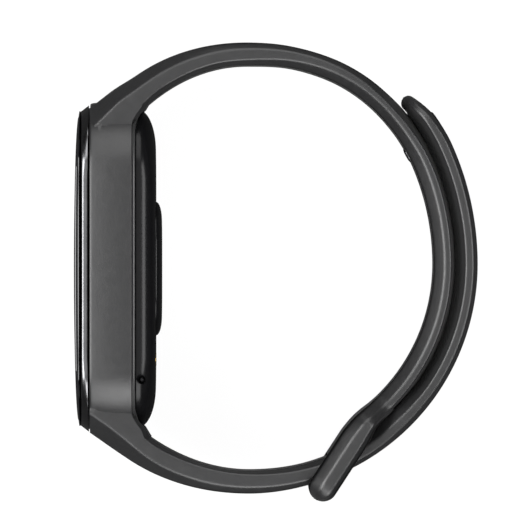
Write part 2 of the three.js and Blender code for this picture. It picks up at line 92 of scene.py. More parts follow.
GLASS_FRONT = low("cover_glass")[0]
GLASS_BACK = high("cover_glass")[0]
BEZEL_FRONT = low("front_bezel")[0]
BEZEL_BACK = -10.42
BEZEL_HALF_LENGTH = high("front_bezel")[1]
BEZEL_HALF_WIDTH = high("front_bezel")[2]
GROOVE_CLEARANCE = 0.08
GLASS_CROWN = 0.24
GLASS_CROWN_REACH = 16.3
GLASS_END_INSET = 0.9
DISPLAY_WINDOW_HALF_LENGTH = 20.7
DISPLAY_WINDOW_HALF_WIDTH = 7.3
BODY_FRONT = low("body_shell")[0]
BODY_BACK = -0.88
BODY_HALF_LENGTH = high("body_shell")[1]
BODY_HALF_WIDTH = high("body_shell")[2]
BODY_END_RUN = 5.7
BODY_SIDE_RUN = 2.8
BODY_EDGE_DEPTH = 2.5
BODY_WALL = 1.1
BUMP_HALF_LENGTH = 9.5
BUMP_HALF_WIDTH = 6.8
BUMP_EDGE_RUN = 2.6
LENS_HALF_LENGTH = high("sensor_lens")[1]
LENS_HALF_WIDTH = high("sensor_lens")[2]
MICROPHONE = (-2.82, -15.75)
CONTACT_Y = -12.9
CONTACT_Z = 2.5
CONTACT_RADIUS = 1.05
CONTACT_SEAT_RADIUS = 1.12

# ---- Driving dimensions of the strap ----

CRADLE_FRONT = low("strap_cradle")[0]
CRADLE_BACK = -3.73
CRADLE_CREST = -5.2
CRADLE_WALL_FALL = 0.42
CRADLE_HALF_LENGTH = 23.9
CRADLE_HALF_WIDTH = high("strap_cradle")[2]
OPENING_HALF_LENGTH = 22.9
OPENING_HALF_WIDTH = 9.95
SHOULDER_START = 20
SHOULDER_RUN = 4.4
SHOULDER_SWEEP = 3.08
SHOULDER_FILLET = 1.2
STRAP_HALF_WIDTH = high("strap_upper_arm")[2]
LIMB_START = 0.5
ROOT_STRAIGHT = 9
ROOT_EASE = 5.5
ROOT_THICKNESS = 4.4
CROWN_THICKNESS = 3.25
CLASP_THICKNESS = 3
TIP_THICKNESS = 1.9
KEEPER_THICKNESS = 4.1
KEEPER_CORNER = 3.0
NOSE_CORNER = 5.5
LAYER_GAP = 0.35
LAYER_CAMBER = 0.24
TAIL_CREEP = 0.2
CREASE_REACH = 0.36
FACE_MARGIN = 0.8
OUTER_RUN = 1.1
INNER_RUN = 1.4
ROOT_RUN = 1.4
COVERED_ARM_RUN = 2.8
COVERED_TAIL_RUN = 3.2

CLASP_CENTRE = (12.37, 0.65)
TAIL_RADIUS = 30.93
TAIL_UPPER_RADIUS = 39.9
ARM_UPPER_RADIUS = 36.64
LOCK_ANGLE = 26.3
STUD_ORIGIN = (3.99, -0.73)
STUD_ANGLE = 28.6
STUD_CAP_RADIUS = 3.8
STUD_CAP_BACK = 40.35
STUD_PIN_RADIUS = 0.9
STUD_COLLAR_RADIUS = 1.5
AXIS_RADIUS = 0.05
HOLE_PITCH = 5.14
HOLES_ABOVE_STUD = 1
HOLES_BELOW_STUD = 7
HOLE_HALF_LENGTH = 1.9
HOLE_HALF_WIDTH = 1.5


# ---- Mesh helpers ----

def object_from(name, mesh):
    """Puts a mesh in the scene as an object of its own."""
    obj = bpy.data.objects.new(name, mesh)
    bpy.context.scene.collection.objects.link(obj)
    return obj


def loft(name, rings, cyclic=False):
    """A closed mesh through rings of equally many points, in millimetres. Open ends are capped."""
    count, size = len(rings), len(rings[0])
    faces = []
    for ring in range(count if cyclic else count - 1):
        here, there = ring * size, (ring + 1) % count * size
        for point in range(size):
            after = (point + 1) % size
            faces.append((here + point, here + after, there + after, there + point))
    if not cyclic:
        faces.append(tuple(reversed(range(size))))
        faces.append(tuple(range((count - 1) * size, count * size)))
    mesh = bpy.data.meshes.new(name)
    mesh.from_pydata((np.concatenate(rings) * MM).tolist(), [], faces)
    outward = bmesh.new()
    outward.from_mesh(mesh)
    bmesh.ops.recalc_face_normals(outward, faces=outward.faces)
    outward.to_mesh(mesh)
    outward.free()
    return object_from(name, mesh)


def applied(obj):
    """Makes the object's modifiers real."""
    graph = bpy.context.evaluated_depsgraph_get()
    mesh = bpy.data.meshes.new_from_object(obj.evaluated_get(graph))
    obj.modifiers.clear()
    old = obj.data
    obj.data = mesh
    bpy.data.meshes.remove(old)
    return obj


def boolean(target, operation, *tools):
    """Joins or cuts the target with each tool, and removes the tools."""
    for tool in tools:
        modifier = target.modifiers.new("boolean", "BOOLEAN")
        modifier.operation = operation
        modifier.solver = "MANIFOLD"
        modifier.object = tool
        applied(target)
        bpy.data.objects.remove(tool)
    return target


def smooth(obj, angle=32):
    """Shades an object smoothly, except across edges sharper than the angle."""
    obj.data.shade_smooth()
    obj.data.set_sharp_from_angle(angle=angle * DEGREE)
    return obj


# ---- Outlines ----

def pill_ring(half_length, half_width, arc_points=48, side_points=20):
    """Points round a pill, as (along, across), counter-clockwise from the far right corner."""
    straight = half_length - half_width
    angles = np.linspace(-90, 90, arc_points) * DEGREE
    right = np.stack([straight + half_width * np.cos(angles), half_width * np.sin(angles)], 1)
    side = np.linspace(straight, -straight, side_points + 2)[1:-1]
    top = np.stack([side, np.full(side_points, half_width)], 1)
    return np.concatenate([right, top, -right, -top])


def capsule_ring(outline, depth):
    """Places a pill outline, drawn as length and width, at a depth along X."""
    depths = np.full(len(outline), 1.0) * depth
    return np.stack([depths, outline[:, 0], outline[:, 1]], 1)


def capsule_loft(name, profile, half_length, half_width, arc_points=48):
    """A pill-shaped solid from (depth, inset) pairs."""
    rings = [
        capsule_ring(pill_ring(half_length - inset, half_width - inset, arc_points), depth)
        for depth, inset in profile
    ]
    return loft(name, rings)


def rounded(corners, segments=4):
    """A closed outline from (x, y, reach) corners. Each is rounded over its reach along both edges."""
    points = []
    places = [np.array(corner[:2], float) for corner in corners]
    for index, corner in enumerate(places):
        reach = corners[index][2]
        before = places[index - 1] - corner
        after = places[(index + 1) % len(places)] - corner
        start = corner + before / np.linalg.norm(before) * reach
        end = corner + after / np.linalg.norm(after) * reach
        for step in np.linspace(0, 1, segments + 1):
            points.append((1 - step) ** 2 * start + 2 * step * (1 - step) * corner + step ** 2 * end)
    return np.array(points)


# ---- Strap centrelines ----

class BandPath:
    """A chain of arcs and straights in the XY plane. Left turns are positive, in degrees."""

    def __init__(self, x, y, heading, legs):
        self.legs = []
        self.length = 0
        place = (x, y, heading * DEGREE)
        for radius, turn in legs:
            turn *= DEGREE
            length = radius * abs(turn) if turn else radius
            self.legs.append((self.length, length, turn, place))
            self.length += length
            place = self.at(self.length)

    def at(self, travel):
        """Place and heading, as (x, y, heading in radians), after a travel along the path."""
        start, length, turn, (x, y, heading) = max(
            (leg for leg in self.legs if leg[0] <= travel), default=self.legs[0], key=lambda leg: leg[0]
        )
        half_turn = turn * (travel - start) / length / 2
        chord = travel - start
        if half_turn:
            chord *= math.sin(half_turn) / half_turn
        direction = heading + half_turn
        return x + chord * math.cos(direction), y + chord * math.sin(direction), heading + 2 * half_turn


# Each leg is (radius, turn), or (length, 0) where it is straight.
upper_path = BandPath(-9.892, 19.815, 38, [
    (ROOT_STRAIGHT, 0), (24, -38), (33.79, -20), (23, -32), (17.15, -8), (ARM_UPPER_RADIUS, -30),
    (27.65, -50), (10.4, 16.9), (9.67, 0),
])
lower_path = BandPath(-10.948, -20.09, -35, [
    (ROOT_STRAIGHT, 0), (27.8, 35), (TAIL_RADIUS, 90), (TAIL_UPPER_RADIUS, 29.2), (10.2, 27),
])
UPPER_CROWN = upper_path.legs[2][0]
KEEPER_TRAVEL = upper_path.legs[7][0]
KEEPER_START = KEEPER_TRAVEL - 2.2
STUD_TRAVEL = upper_path.legs[5][0] + ARM_UPPER_RADIUS * (30 - LOCK_ANGLE) * DEGREE
LOWER_CROWN = lower_path.legs[2][0]
SEAM_IN_KEEPER = LOWER_CROWN + TAIL_RADIUS * (90 - 67.5) * DEGREE
FIRST_BEND = LOWER_CROWN + TAIL_RADIUS * (90 - 8.8) * DEGREE
SECOND_BEND = lower_path.legs[3][0] + TAIL_UPPER_RADIUS * 12.5 * DEGREE
TAIL_SEAM = (FIRST_BEND + SECOND_BEND) / 2
BLEND_REACH = 5


def ease(value, start, end, first, last):
    """Goes smoothly from first to last as value goes from start to end."""
    share = min(max((value - start) / (end - start), 0), 1)
    return first + (last - first) * share * share * (3 - 2 * share)


def eased_through(value, stations):
    """Goes smoothly through (value, result) stations in turn."""
    result = stations[0][1]
    for (start, first), (end, last) in zip(stations, stations[1:]):
        if value > start:
            result = ease(value, start, end, first, last)
    return result


def upper_thickness(travel):
    """Thickness of the upper arm and its keeper loop: root, crown, clasp, keeper."""
    if travel < UPPER_CROWN:
        return ease(travel, ROOT_EASE, UPPER_CROWN, ROOT_THICKNESS, CROWN_THICKNESS)
    if travel < KEEPER_START:
        return ease(travel, UPPER_CROWN, UPPER_CROWN + 8, CROWN_THICKNESS, CLASP_THICKNESS)
    return ease(travel, KEEPER_TRAVEL - 0.5, KEEPER_TRAVEL + 5, CLASP_THICKNESS, KEEPER_THICKNESS)


def lower_thickness(travel):
    """Thickness of the lower arm and its tail: root, crown, clasp, tip."""
    if travel < LOWER_CROWN:
        return ease(travel, ROOT_EASE, LOWER_CROWN, ROOT_THICKNESS, CROWN_THICKNESS)
    if travel < SECOND_BEND:
        return ease(travel, LOWER_CROWN, LOWER_CROWN + 10, CROWN_THICKNESS, CLASP_THICKNESS)
    return ease(travel, lower_path.length - 8, lower_path.length, CLASP_THICKNESS, TIP_THICKNESS)


# ---- Strap sections and sweeps ----

def shoulder_half_width(y):
    """Half width of the strap seen from the front: the cradle's round end, a small fillet, then the arm."""
    centre = CRADLE_HALF_LENGTH - CRADLE_HALF_WIDTH
    inner = CRADLE_HALF_WIDTH - CRADLE_WALL_FALL - 0.04
    fillet = SHOULDER_FILLET
    fillet_y = centre + math.sqrt((inner + fillet) ** 2 - (STRAP_HALF_WIDTH + fillet) ** 2)
    share = inner / (inner + fillet)
    tangent_y = centre + (fillet_y - centre) * share
    y = abs(y)
    if y >= fillet_y:
        return STRAP_HALF_WIDTH
    if y > tangent_y:
        return STRAP_HALF_WIDTH + fillet - math.sqrt(fillet ** 2 - (fillet_y - y) ** 2)
    return math.sqrt(max(inner ** 2 - (y - centre) ** 2, 0)) if y > centre else inner


def strap_section(half_width, thickness, outer_crease, inner_crease, outer_run, inner_run, camber=(0, 0)):
    """Section of the strap as (across, outward): flat sides, each between two creases and their chamfers.

    The creases are heights from the middle of the thickness. The runs are how far the chamfers reach in from
    the sides. The camber is how far the middles of the outer and the inner face rise outward.
    """
    half = thickness / 2
    side = [
        (half_width - outer_run, half - 0.05, 0.5),
        (half_width, outer_crease, CREASE_REACH),
        (half_width, inner_crease, CREASE_REACH),
        (half_width - inner_run, -half, 0.5),
    ]
    mirrored = [(-across, outward, reach) for across, outward, reach in reversed(side)]
    outer_face = cambered(half_width - outer_run - FACE_MARGIN, half - 0.02, camber[0])
    inner_face = cambered(half_width - inner_run - FACE_MARGIN, -half, camber[1])
    return rounded([*outer_face, *side, *reversed(inner_face), *mirrored], 5)


def cambered(half_width, height, rise):
    """Corners across a face whose middle rises in a shallow arch, from left to right."""
    return [
        (half_width * share, height + rise * (1 - share * share), half_width * 0.16)
        for share in np.linspace(-1, 1, 5)
    ]


def upper_creases(travel):
    """Heights of the upper arm's outer and inner crease, from the cradle to the clasp."""
    outer = eased_through(travel, [
        (0, -0.1), (6, 0.48), (18, 0.46), (27, 0.66), (34, 0.7), (46, 0.58), (60, 1.02),
    ])
    inner = eased_through(travel, [
        (5, -2.1), (12, -1.42), (22, -1.0), (38, -0.24), (50, -0.24), (58, 0.02),
    ])
    return outer, inner


def lower_creases(travel):
    """Heights of the lower arm's outer and inner crease, from the cradle to the tail."""
    outer = eased_through(travel, [(3, -0.1), (14, 0.56), (56, 1.0)])
    inner = eased_through(travel, [(5, -2.1), (13, -1.5), (54, -0.22)])
    return outer, inner


def arm_bow(travel):
    """How far the upper arm stands outside its centreline: out past the crown, in before the tail's tip."""
    return eased_through(travel, [(25, 0), (31, 0.14), (49, -0.21), (56, 0)])


def root_lift(travel):
    """Extra thickness on the outer side where the upper arm leaves the cradle."""
    return ease(travel, 5, 10, 0.34, 0)


def tip_creep(left):
    """Extra thickness on the inner side just behind the tail's nose, which rests on the upper arm."""
    return eased_through(left, [(1.2, 0), (2.6, 0.46), (4.6, 0.32), (8.5, 0)])


def mouth_creep(travel):
    """Extra thickness on the inner side where the tail comes out of the keeper and meets the upper arm."""
    return eased_through(travel, [(45.5, 0), (48.5, 0.3), (52.5, 0.3), (57, 0)])


def placed(section, place, outward_side):
    """Puts a section across a path.

    outward_side is +1 where the strap's outer face is on the path's left, and -1 where it is on the right.
    """
    x, y, heading = place
    out_x, out_y = -math.sin(heading) * outward_side, math.cos(heading) * outward_side
    return np.stack([x + section[:, 1] * out_x, y + section[:, 1] * out_y, section[:, 0]], 1)


def travels(start, end, step=0.7):
    """Evenly spaced travels from start to end, about a step apart."""
    return np.linspace(start, end, max(2, int(round((end - start) / step)) + 1))


def root_share(travel):
    """How much of the root's wider chamfer an arm still has: all of it at the cradle, none further on."""
    return ease(travel, ROOT_STRAIGHT - 2, ROOT_STRAIGHT + 14, 1, 0)


def widened(ring):
    """Spreads a ring sideways where the arm grows into the cradle's shoulder."""
    wide = ring.copy()
    wide[:, 2] *= [shoulder_half_width(y) / STRAP_HALF_WIDTH for y in ring[:, 1]]
    return wide


def keeper_half_width(travel):
    """Half width of the keeper loop: it flares from the arm and ends in rounded corners."""
    left = upper_path.length + KEEPER_THICKNESS / 2 - travel
    half_width = ease(travel, KEEPER_START - 0.5, KEEPER_TRAVEL + 2, STRAP_HALF_WIDTH, CRADLE_HALF_WIDTH)
    if left < KEEPER_CORNER:
        half_width += math.sqrt(max(KEEPER_CORNER ** 2 - (KEEPER_CORNER - left) ** 2, 0)) - KEEPER_CORNER
    return half_width


def upper_limb():
    """The upper arm and the body of its keeper loop, as one sweep."""
    rings = []
    for travel in travels(LIMB_START, KEEPER_START - 0.5):
        covered = ease(travel, STUD_TRAVEL - 12, STUD_TRAVEL - 3, 0, 1)
        outer_run = OUTER_RUN + ROOT_RUN * root_share(travel) + COVERED_ARM_RUN * covered
        lift = root_lift(travel)
        section = strap_section(
            STRAP_HALF_WIDTH, upper_thickness(travel) + lift, *upper_creases(travel), outer_run, INNER_RUN,
            (LAYER_CAMBER * covered, 0),
        )
        section[:, 1] += lift / 2 + arm_bow(travel)
        ring = placed(section, upper_path.at(travel), 1)
        rings.append(widened(ring) if travel < ROOT_STRAIGHT else ring)
    end = upper_path.length
    stations = [(travel, upper_thickness(travel), 1) for travel in travels(KEEPER_START, end, 0.4)]
    radius = KEEPER_THICKNESS / 2
    for turn in np.linspace(0, 86, 14)[1:] * DEGREE:
        stations.append((end + radius * math.sin(turn), 2 * radius * math.cos(turn), math.cos(turn)))
    for travel, thickness, flat in stations:
        outer = ease(travel, KEEPER_START, KEEPER_TRAVEL + 6, 1.02, 1.3) * flat
        inner = ease(travel, KEEPER_START, KEEPER_TRAVEL + 6, 0.02, -0.3) * flat
        section = strap_section(keeper_half_width(travel), thickness, outer, inner, OUTER_RUN, INNER_RUN)
        rings.append(placed(section, upper_path.at(travel), 1))
    return loft("upper_limb", rings)


def lower_sweep(name, start, end, nose=False):
    """A stretch of the lower arm and tail. The last one ends in the tail's rounded nose."""
    rings = []
    stations = [(travel, lower_thickness(travel)) for travel in travels(start, end)]
    if nose:
        radius = TIP_THICKNESS / 2
        for turn in np.linspace(0, 85, 10)[1:] * DEGREE:
            stations.append((end + radius * math.sin(turn), 2 * radius * math.cos(turn)))
    tip = lower_path.length + TIP_THICKNESS / 2
    for travel, thickness in stations:
        left = tip - travel
        thin = min(1, thickness / CLASP_THICKNESS)
        outer, inner = (crease * thin for crease in lower_creases(travel))
        covering = ease(travel, LOWER_CROWN + 24, LOWER_CROWN + 32, 0, 1) * thin
        creep = TAIL_CREEP * covering + tip_creep(left) + mouth_creep(travel)
        section = strap_section(
            STRAP_HALF_WIDTH, thickness + creep, outer, inner, OUTER_RUN + ROOT_RUN * root_share(travel),
            INNER_RUN + COVERED_TAIL_RUN * covering, (0, LAYER_CAMBER * covering),
        )
        section[:, 1] -= creep / 2
        ring = placed(section, lower_path.at(travel), -1)
        if travel < ROOT_STRAIGHT:
            ring = widened(ring)
        if left < NOSE_CORNER:
            round_off = math.sqrt(NOSE_CORNER ** 2 - (NOSE_CORNER - left) ** 2)
            narrowed = STRAP_HALF_WIDTH - NOSE_CORNER + round_off
            ring[:, 2] *= narrowed / STRAP_HALF_WIDTH
        rings.append(ring)
    return loft(name, rings)


def cradle_ring():
    """The rim that the capsule sits in: a bulging wall swept round a pill, with a thin lip at its back."""
    bulge = [
        (-CRADLE_WALL_FALL * ((CRADLE_CREST - depth) / (CRADLE_CREST - CRADLE_FRONT)) ** 2, depth, 0.35)
        for depth in np.linspace(CRADLE_FRONT + 0.9, CRADLE_CREST - 0.6, 5)
    ]
    wall = rounded([
        (-CRADLE_WALL_FALL, CRADLE_FRONT, 0.34),
        *bulge,
        (-0.02, CRADLE_BACK - 0.48, 0.08),
        (-0.36, CRADLE_BACK - 0.41, 0.02),
        (-0.36, CRADLE_BACK - 0.34, 0.02),
        (-0.07, CRADLE_BACK - 0.26, 0.04),
        (-0.02, CRADLE_BACK - 0.14, 0.06),
        (-0.1, CRADLE_BACK, 0.05),
        (-2, CRADLE_BACK, 0.1),
        (-2, CRADLE_FRONT, 0.1),
    ], 4)
    rings = []
    for point in range(len(pill_ring(1, 0.5))):
        ring = []
        for inset, depth in wall:
            outline = pill_ring(CRADLE_HALF_LENGTH + inset, CRADLE_HALF_WIDTH + inset)
            y, z = outline[point]
            sweep = max(abs(y) - SHOULDER_START, 0) / SHOULDER_RUN
            share = (depth - CRADLE_FRONT) / (CRADLE_BACK - CRADLE_FRONT)
            ring.append((depth + SHOULDER_SWEEP * sweep * sweep * share, y, z))
        rings.append(np.array(ring))
    return loft("cradle_ring", rings, cyclic=True)


def root_web(side):
    """Fills the corner between an arm's root and the cradle's wall, level with the strap's edges.

    The inner edge is (x, y, chamfer) corners. The buried ones lie inside the arm and the wall.
    """
    inner_edge = [
        (-4.29, 20.4, 0.3), (-4.09, 21.04, 0.3), (-3.5, 22.02, 0.32),
        (-2.85, 22.9, 0.48), (-2.32, 24.35, 0.72),
    ]
    buried = [(-3.4, 24.9), (-8, 20.9), (-9.4, 19.2), (-9.4, 18), (-4.29, 18)]
    rings = []
    for level, spread in ((-1, 0), (-0.9, 1), (0.9, 1), (1, 0)):
        outline = [(x + spread * run, y - spread * run * 0.7) for x, y, run in inner_edge] + buried
        ring = [(x, side * y, level * (STRAP_HALF_WIDTH - 0.01)) for x, y in outline]
        rings.append(np.array(ring))
    return loft("root_web", rings)


def slab(name, corner_low, corner_high):
    """A plain box between two corners."""
    (x0, y0, z0), (x1, y1, z1) = corner_low, corner_high
    rings = [np.array([(x0, y0, z), (x1, y0, z), (x1, y1, z), (x0, y1, z)], float) for z in (z0, z1)]
    return loft(name, rings)


def normal_frame(place, outward_side):
    """Rotation from (along, across, outward) at a place on a path to the part's axes, and its origin."""
    x, y, heading = place
    along = Vector((math.cos(heading), math.sin(heading), 0))
    outward = Vector((-math.sin(heading), math.cos(heading), 0)) * outward_side
    across = outward.cross(along)
    rotation = Matrix((along, across, outward)).transposed()
    return np.array(rotation), np.array((x, y, 0))


def adjusting_hole(travel):
    """Cutter for one hole, from (height, growth) pairs: rounded mouths and a step on the wrist side."""
    half = upper_thickness(travel) / 2
    profile = [
        (-half - 0.6, 1.25), (-half - 0.02, 0.78), (-half + 0.1, 0.66), (-half + 0.55, 0.6),
        (-half + 0.6, 0.55), (-half + 0.62, 0.12), (-half + 0.72, 0.03), (-half + 0.85, 0),
        (half - 0.3, 0), (half - 0.12, 0.06), (half - 0.02, 0.2), (half + 0.5, 0.7),
    ]
    rotation, origin = normal_frame(upper_path.at(travel), 1)
    rings = []
    for height, growth in profile:
        outline = pill_ring(HOLE_HALF_LENGTH + growth, HOLE_HALF_WIDTH + growth, 14, 2)
        local = np.column_stack([outline, np.full(len(outline), height)])
        rings.append(local @ rotation.T + origin)
    return loft("hole", rings)


def tail_passage():
    """Cutter for the slot that the tail runs through, round the lower right bend."""
    inner = TAIL_RADIUS - CLASP_THICKNESS / 2 - LAYER_GAP
    outer = TAIL_RADIUS + CLASP_THICKNESS / 2 + LAYER_GAP
    half_width = STRAP_HALF_WIDTH + LAYER_GAP
    corners = [(inner, -half_width), (outer, -half_width), (outer, half_width), (inner, half_width)]
    section = rounded([(*corner, 0.7) for corner in corners], 5)
    rings = []
    for angle in np.linspace(-98, -38, 61) * DEGREE:
        x = CLASP_CENTRE[0] + section[:, 0] * math.cos(angle)
        y = CLASP_CENTRE[1] + section[:, 0] * math.sin(angle)
        rings.append(np.stack([x, y, section[:, 1]], 1))
    return loft("passage", rings)


def build_strap_moulding():
    """Cradle, both arms and the keeper loop as one moulding."""
    moulding = cradle_ring()
    moulding.name = "strap_moulding"
    arm = lower_sweep("lower_arm", LIMB_START, SEAM_IN_KEEPER)
    limb = boolean(upper_limb(), "DIFFERENCE", tail_passage())
    boolean(moulding, "UNION", arm, limb, root_web(1), root_web(-1))
    opening = capsule_loft(
        "opening", [(-14, 0), (4, 0)], OPENING_HALF_LENGTH - 0.03, OPENING_HALF_WIDTH, 64,
    )
    front = slab("front", (-20, -30, -15), (CRADLE_FRONT + 0.08, 30, 15))
    steps = range(-HOLES_ABOVE_STUD, HOLES_BELOW_STUD + 1)
    holes = [adjusting_hole(STUD_TRAVEL + step * HOLE_PITCH) for step in steps]
    boolean(moulding, "DIFFERENCE", opening, front, *holes)
    return smooth(moulding)


def stud_solid(name, profile, arc_points=40):
    """A round solid on the stud's axis, from (distance along the axis, radius) pairs."""
    rotation, origin = normal_frame((*STUD_ORIGIN, STUD_ANGLE * DEGREE + math.pi / 2), -1)
    turns = np.linspace(0, 2 * math.pi, arc_points, endpoint=False)
    rings = []
    for distance, radius in profile:
        local = np.stack([radius * np.cos(turns), radius * np.sin(turns), np.full(arc_points, distance)], 1)
        rings.append(local @ rotation.T + origin)
    return loft(name, rings)


def build_tail():
    """The two stretches of the tail beyond the keeper, the upper one with the seat for its stud."""
    lower = lower_sweep("strap_tail_lower", SEAM_IN_KEEPER, TAIL_SEAM)
    upper = lower_sweep("strap_tail_upper", TAIL_SEAM, lower_path.length, nose=True)
    seat = stud_solid("seat", [
        (36, 1.1), (39.1, 1.1), (39.12, 1.65), (40.2, 1.65), (40.22, STUD_CAP_RADIUS + 0.1),
        (41.05, STUD_CAP_RADIUS + 0.1), (41.3, STUD_CAP_RADIUS + 0.25), (44, STUD_CAP_RADIUS + 1.2),
    ])
    boolean(upper, "DIFFERENCE", seat)
    return smooth(lower), smooth(upper)


def build_stud():
    """The stud's domed cap, and its pin with a mushroom head at the wrist end and a collar under the cap."""
    cap_edge = [(STUD_CAP_BACK, 3.6), (STUD_CAP_BACK + 0.07, 3.72), (STUD_CAP_BACK + 0.2, STUD_CAP_RADIUS)]
    dome = [
        (41.04, STUD_CAP_RADIUS), (41.17, 3.76), (41.26, 3.65), (41.31, 3.5),
        (41.33, 3.35), (41.37, 3.1), (41.46, 2.2), (41.53, 1.1), (41.54, AXIS_RADIUS),
    ]
    cap = stud_solid("stud_cap_disc", [(STUD_CAP_BACK, AXIS_RADIUS), *cap_edge, *dome], 64)
    head = [
        (34.93, AXIS_RADIUS), (34.95, 0.6), (35.02, 0.95), (35.16, 1.16), (35.34, 1.2), (35.5, 1.14),
        (35.62, 0.98),
    ]
    shank = [(35.75, STUD_PIN_RADIUS), (39.25, STUD_PIN_RADIUS)]
    collar = [(39.27, STUD_COLLAR_RADIUS), (40.1, STUD_COLLAR_RADIUS), (40.12, AXIS_RADIUS)]
    post = stud_solid("stud_pin", [*head, *shank, *collar], 40)
    return smooth(cap, 40), smooth(post, 40)


# ---- Tracker capsule ----

def build_glass():
    """The front glass, from (forward, inset) pairs: a ground edge, a sloping side and a crowned face."""
    edge = [(0.02, 1.1), (0.05, 0.88), (0.11, 0.83), (0.18, 0.86), (0.25, 0.9), (0.3, 0.98), (0.42, 1.42)]
    turn = [(0.5, 1.75), (0.52, 1.79), (0.62, 1.83), (0.65, 1.95), (0.71, 2.3), (0.77, 2.8), (0.81, 3.4)]
    crown = [(0.81 + 0.07 * (1 - (1 - share) ** 2), 3.4 + 6.7 * share) for share in np.linspace(0.1, 1, 10)]
    reach = GLASS_BACK - GLASS_FRONT
    rings = []
    for forward, inset in [(0, 2.2), *edge, *turn, *crown]:
        end_inset = max(GLASS_END_INSET, inset) if forward > 0.2 else GLASS_END_INSET
        outline = pill_ring(BEZEL_HALF_LENGTH - end_inset, BEZEL_HALF_WIDTH - inset, 64, 28)
        ring = capsule_ring(outline, GLASS_BACK - forward)
        ring[:, 0] += GLASS_CROWN * (ring[:, 1] / GLASS_CROWN_REACH) ** 2 * forward / reach
        rings.append(ring)
    return smooth(loft("glass_front", rings), 30)


def build_bezel():
    """A polished ring with almost flat sides and tapering ends, and a shadow groove behind it.

    The groove's ends stay inside the cradle's opening.
    """
    profile = [
        (BEZEL_FRONT - 0.07, 2.6), (BEZEL_FRONT + 0.03, 1.3), (BEZEL_FRONT + 0.12, 0.82),
        (BEZEL_FRONT + 0.2, 0.55), (BEZEL_FRONT + 0.27, 0.4),
        (BEZEL_FRONT + 0.34, 0.33), (BEZEL_FRONT + 0.42, 0.3),
        (BEZEL_FRONT + 0.55, 0.275), (BEZEL_FRONT + 0.7, 0.265), (BEZEL_FRONT + 0.85, 0.275),
        (BEZEL_BACK - 0.12, 0.3), (BEZEL_BACK - 0.04, 0.33), (BEZEL_BACK, 0.4),
    ]
    groove = [(BEZEL_BACK + 0.02, 0.9), (BODY_FRONT - 0.05, 2.2)]
    groove_inset = BEZEL_HALF_LENGTH - OPENING_HALF_LENGTH + GROOVE_CLEARANCE
    rings = []
    for depth, inset in [*profile, *groove]:
        taper = 0.1 + 0.85 * (BEZEL_BACK - depth) / (BEZEL_BACK - BEZEL_FRONT)
        end_inset = taper if depth <= BEZEL_BACK else groove_inset
        outline = pill_ring(BEZEL_HALF_LENGTH - end_inset, BEZEL_HALF_WIDTH - inset, 64)
        rings.append(capsule_ring(outline, depth))
    window = capsule_loft(
        "window", [(-14, 0), (-8, 0)], DISPLAY_WINDOW_HALF_LENGTH, DISPLAY_WINDOW_HALF_WIDTH, 40,
    )
    return smooth(boolean(loft("bezel_ring", rings), "DIFFERENCE", window), 30)


def body_inset(depth):
    """How far the body's rounded back has come in at a depth, as a share of the rounding's full run."""
    along = (depth - (BODY_BACK - BODY_EDGE_DEPTH)) / BODY_EDGE_DEPTH
    return 0 if along <= 0 else 1 - math.sqrt(max(1 - along * along, 0))


def build_body():
    """The body shell: rounded back, sensor bump and hollow inside, with cuts for the parts seated in it."""
    corner = BODY_BACK - BODY_EDGE_DEPTH
    turns = np.linspace(0, 90, 17) * DEGREE
    groove = [(CRADLE_BACK - 0.02, 0), (CRADLE_BACK + 0.06, 0.5), (CRADLE_BACK + 0.14, 0)]
    stations = [(BODY_FRONT, 0), (BODY_FRONT + 0.02, 0), (-6, 0), *groove, (corner - 0.1, 0)]
    stations += [(corner + BODY_EDGE_DEPTH * math.sin(turn), 0) for turn in turns]
    rings = []
    for depth, cut in stations:
        share = body_inset(depth)
        half_width = BODY_HALF_WIDTH - BODY_SIDE_RUN * share - cut
        half_length = BODY_HALF_LENGTH - BODY_END_RUN * share - cut
        rings.append(capsule_ring(pill_ring(half_length, half_width, 64), depth))
    body = loft("body_casing", rings)
    bump_foot = BODY_BACK + 0.02
    rise = -0.02 - bump_foot
    bump_edge = [
        (bump_foot + rise * math.sin(turn), BUMP_EDGE_RUN * (1 - math.cos(turn))) for turn in turns[1:]
    ]
    bump_profile = [(-1.6, 0), (bump_foot, 0), *bump_edge]
    boolean(body, "UNION", capsule_loft("bump", bump_profile, BUMP_HALF_LENGTH, BUMP_HALF_WIDTH, 56))
    hollow_profile = [(-12, BODY_WALL), (-3.4, BODY_WALL), (-3.38, 3.1), (-1.9, 3.2)]
    hollow = capsule_loft("hollow", hollow_profile, BODY_HALF_LENGTH, BODY_HALF_WIDTH, 40)
    seat_profile = [(-4, 0.06), (-0.1, 0.06), (-0.04, 0.1), (0.5, 0.5)]
    lens_seat = capsule_loft("lens_seat", seat_profile, LENS_HALF_LENGTH, LENS_HALF_WIDTH, 48)
    cutters = [hollow, lens_seat, microphone_cutter(), contact_cutter(1), contact_cutter(-1)]
    boolean(body, "DIFFERENCE", *cutters)
    return smooth(body, 30)


def round_solid(name, centre, axis, profile, points=28):
    """A round solid along +X or +Z, from (distance along the axis, radius) pairs."""
    turns = np.linspace(0, 2 * math.pi, points, endpoint=False)
    rings = []
    for distance, radius in profile:
        first, second = radius * np.cos(turns), radius * np.sin(turns)
        along = np.full(points, float(distance))
        if axis == "X":
            rings.append(np.stack([along, centre[0] + first, centre[1] + second], 1))
        else:
            rings.append(np.stack([centre[0] + first, centre[1] + second, along], 1))
    return loft(name, rings)


def microphone_cutter():
    """Cutter for the microphone's hole, with a small chamfered mouth on the capsule's side."""
    return round_solid("hole", MICROPHONE, "Z", [
        (4.4, AXIS_RADIUS), (8.6, 0.6), (9.0, 0.6), (9.12, 0.62), (9.2, 0.68), (9.3, 0.8), (10.2, 1.3),
    ])


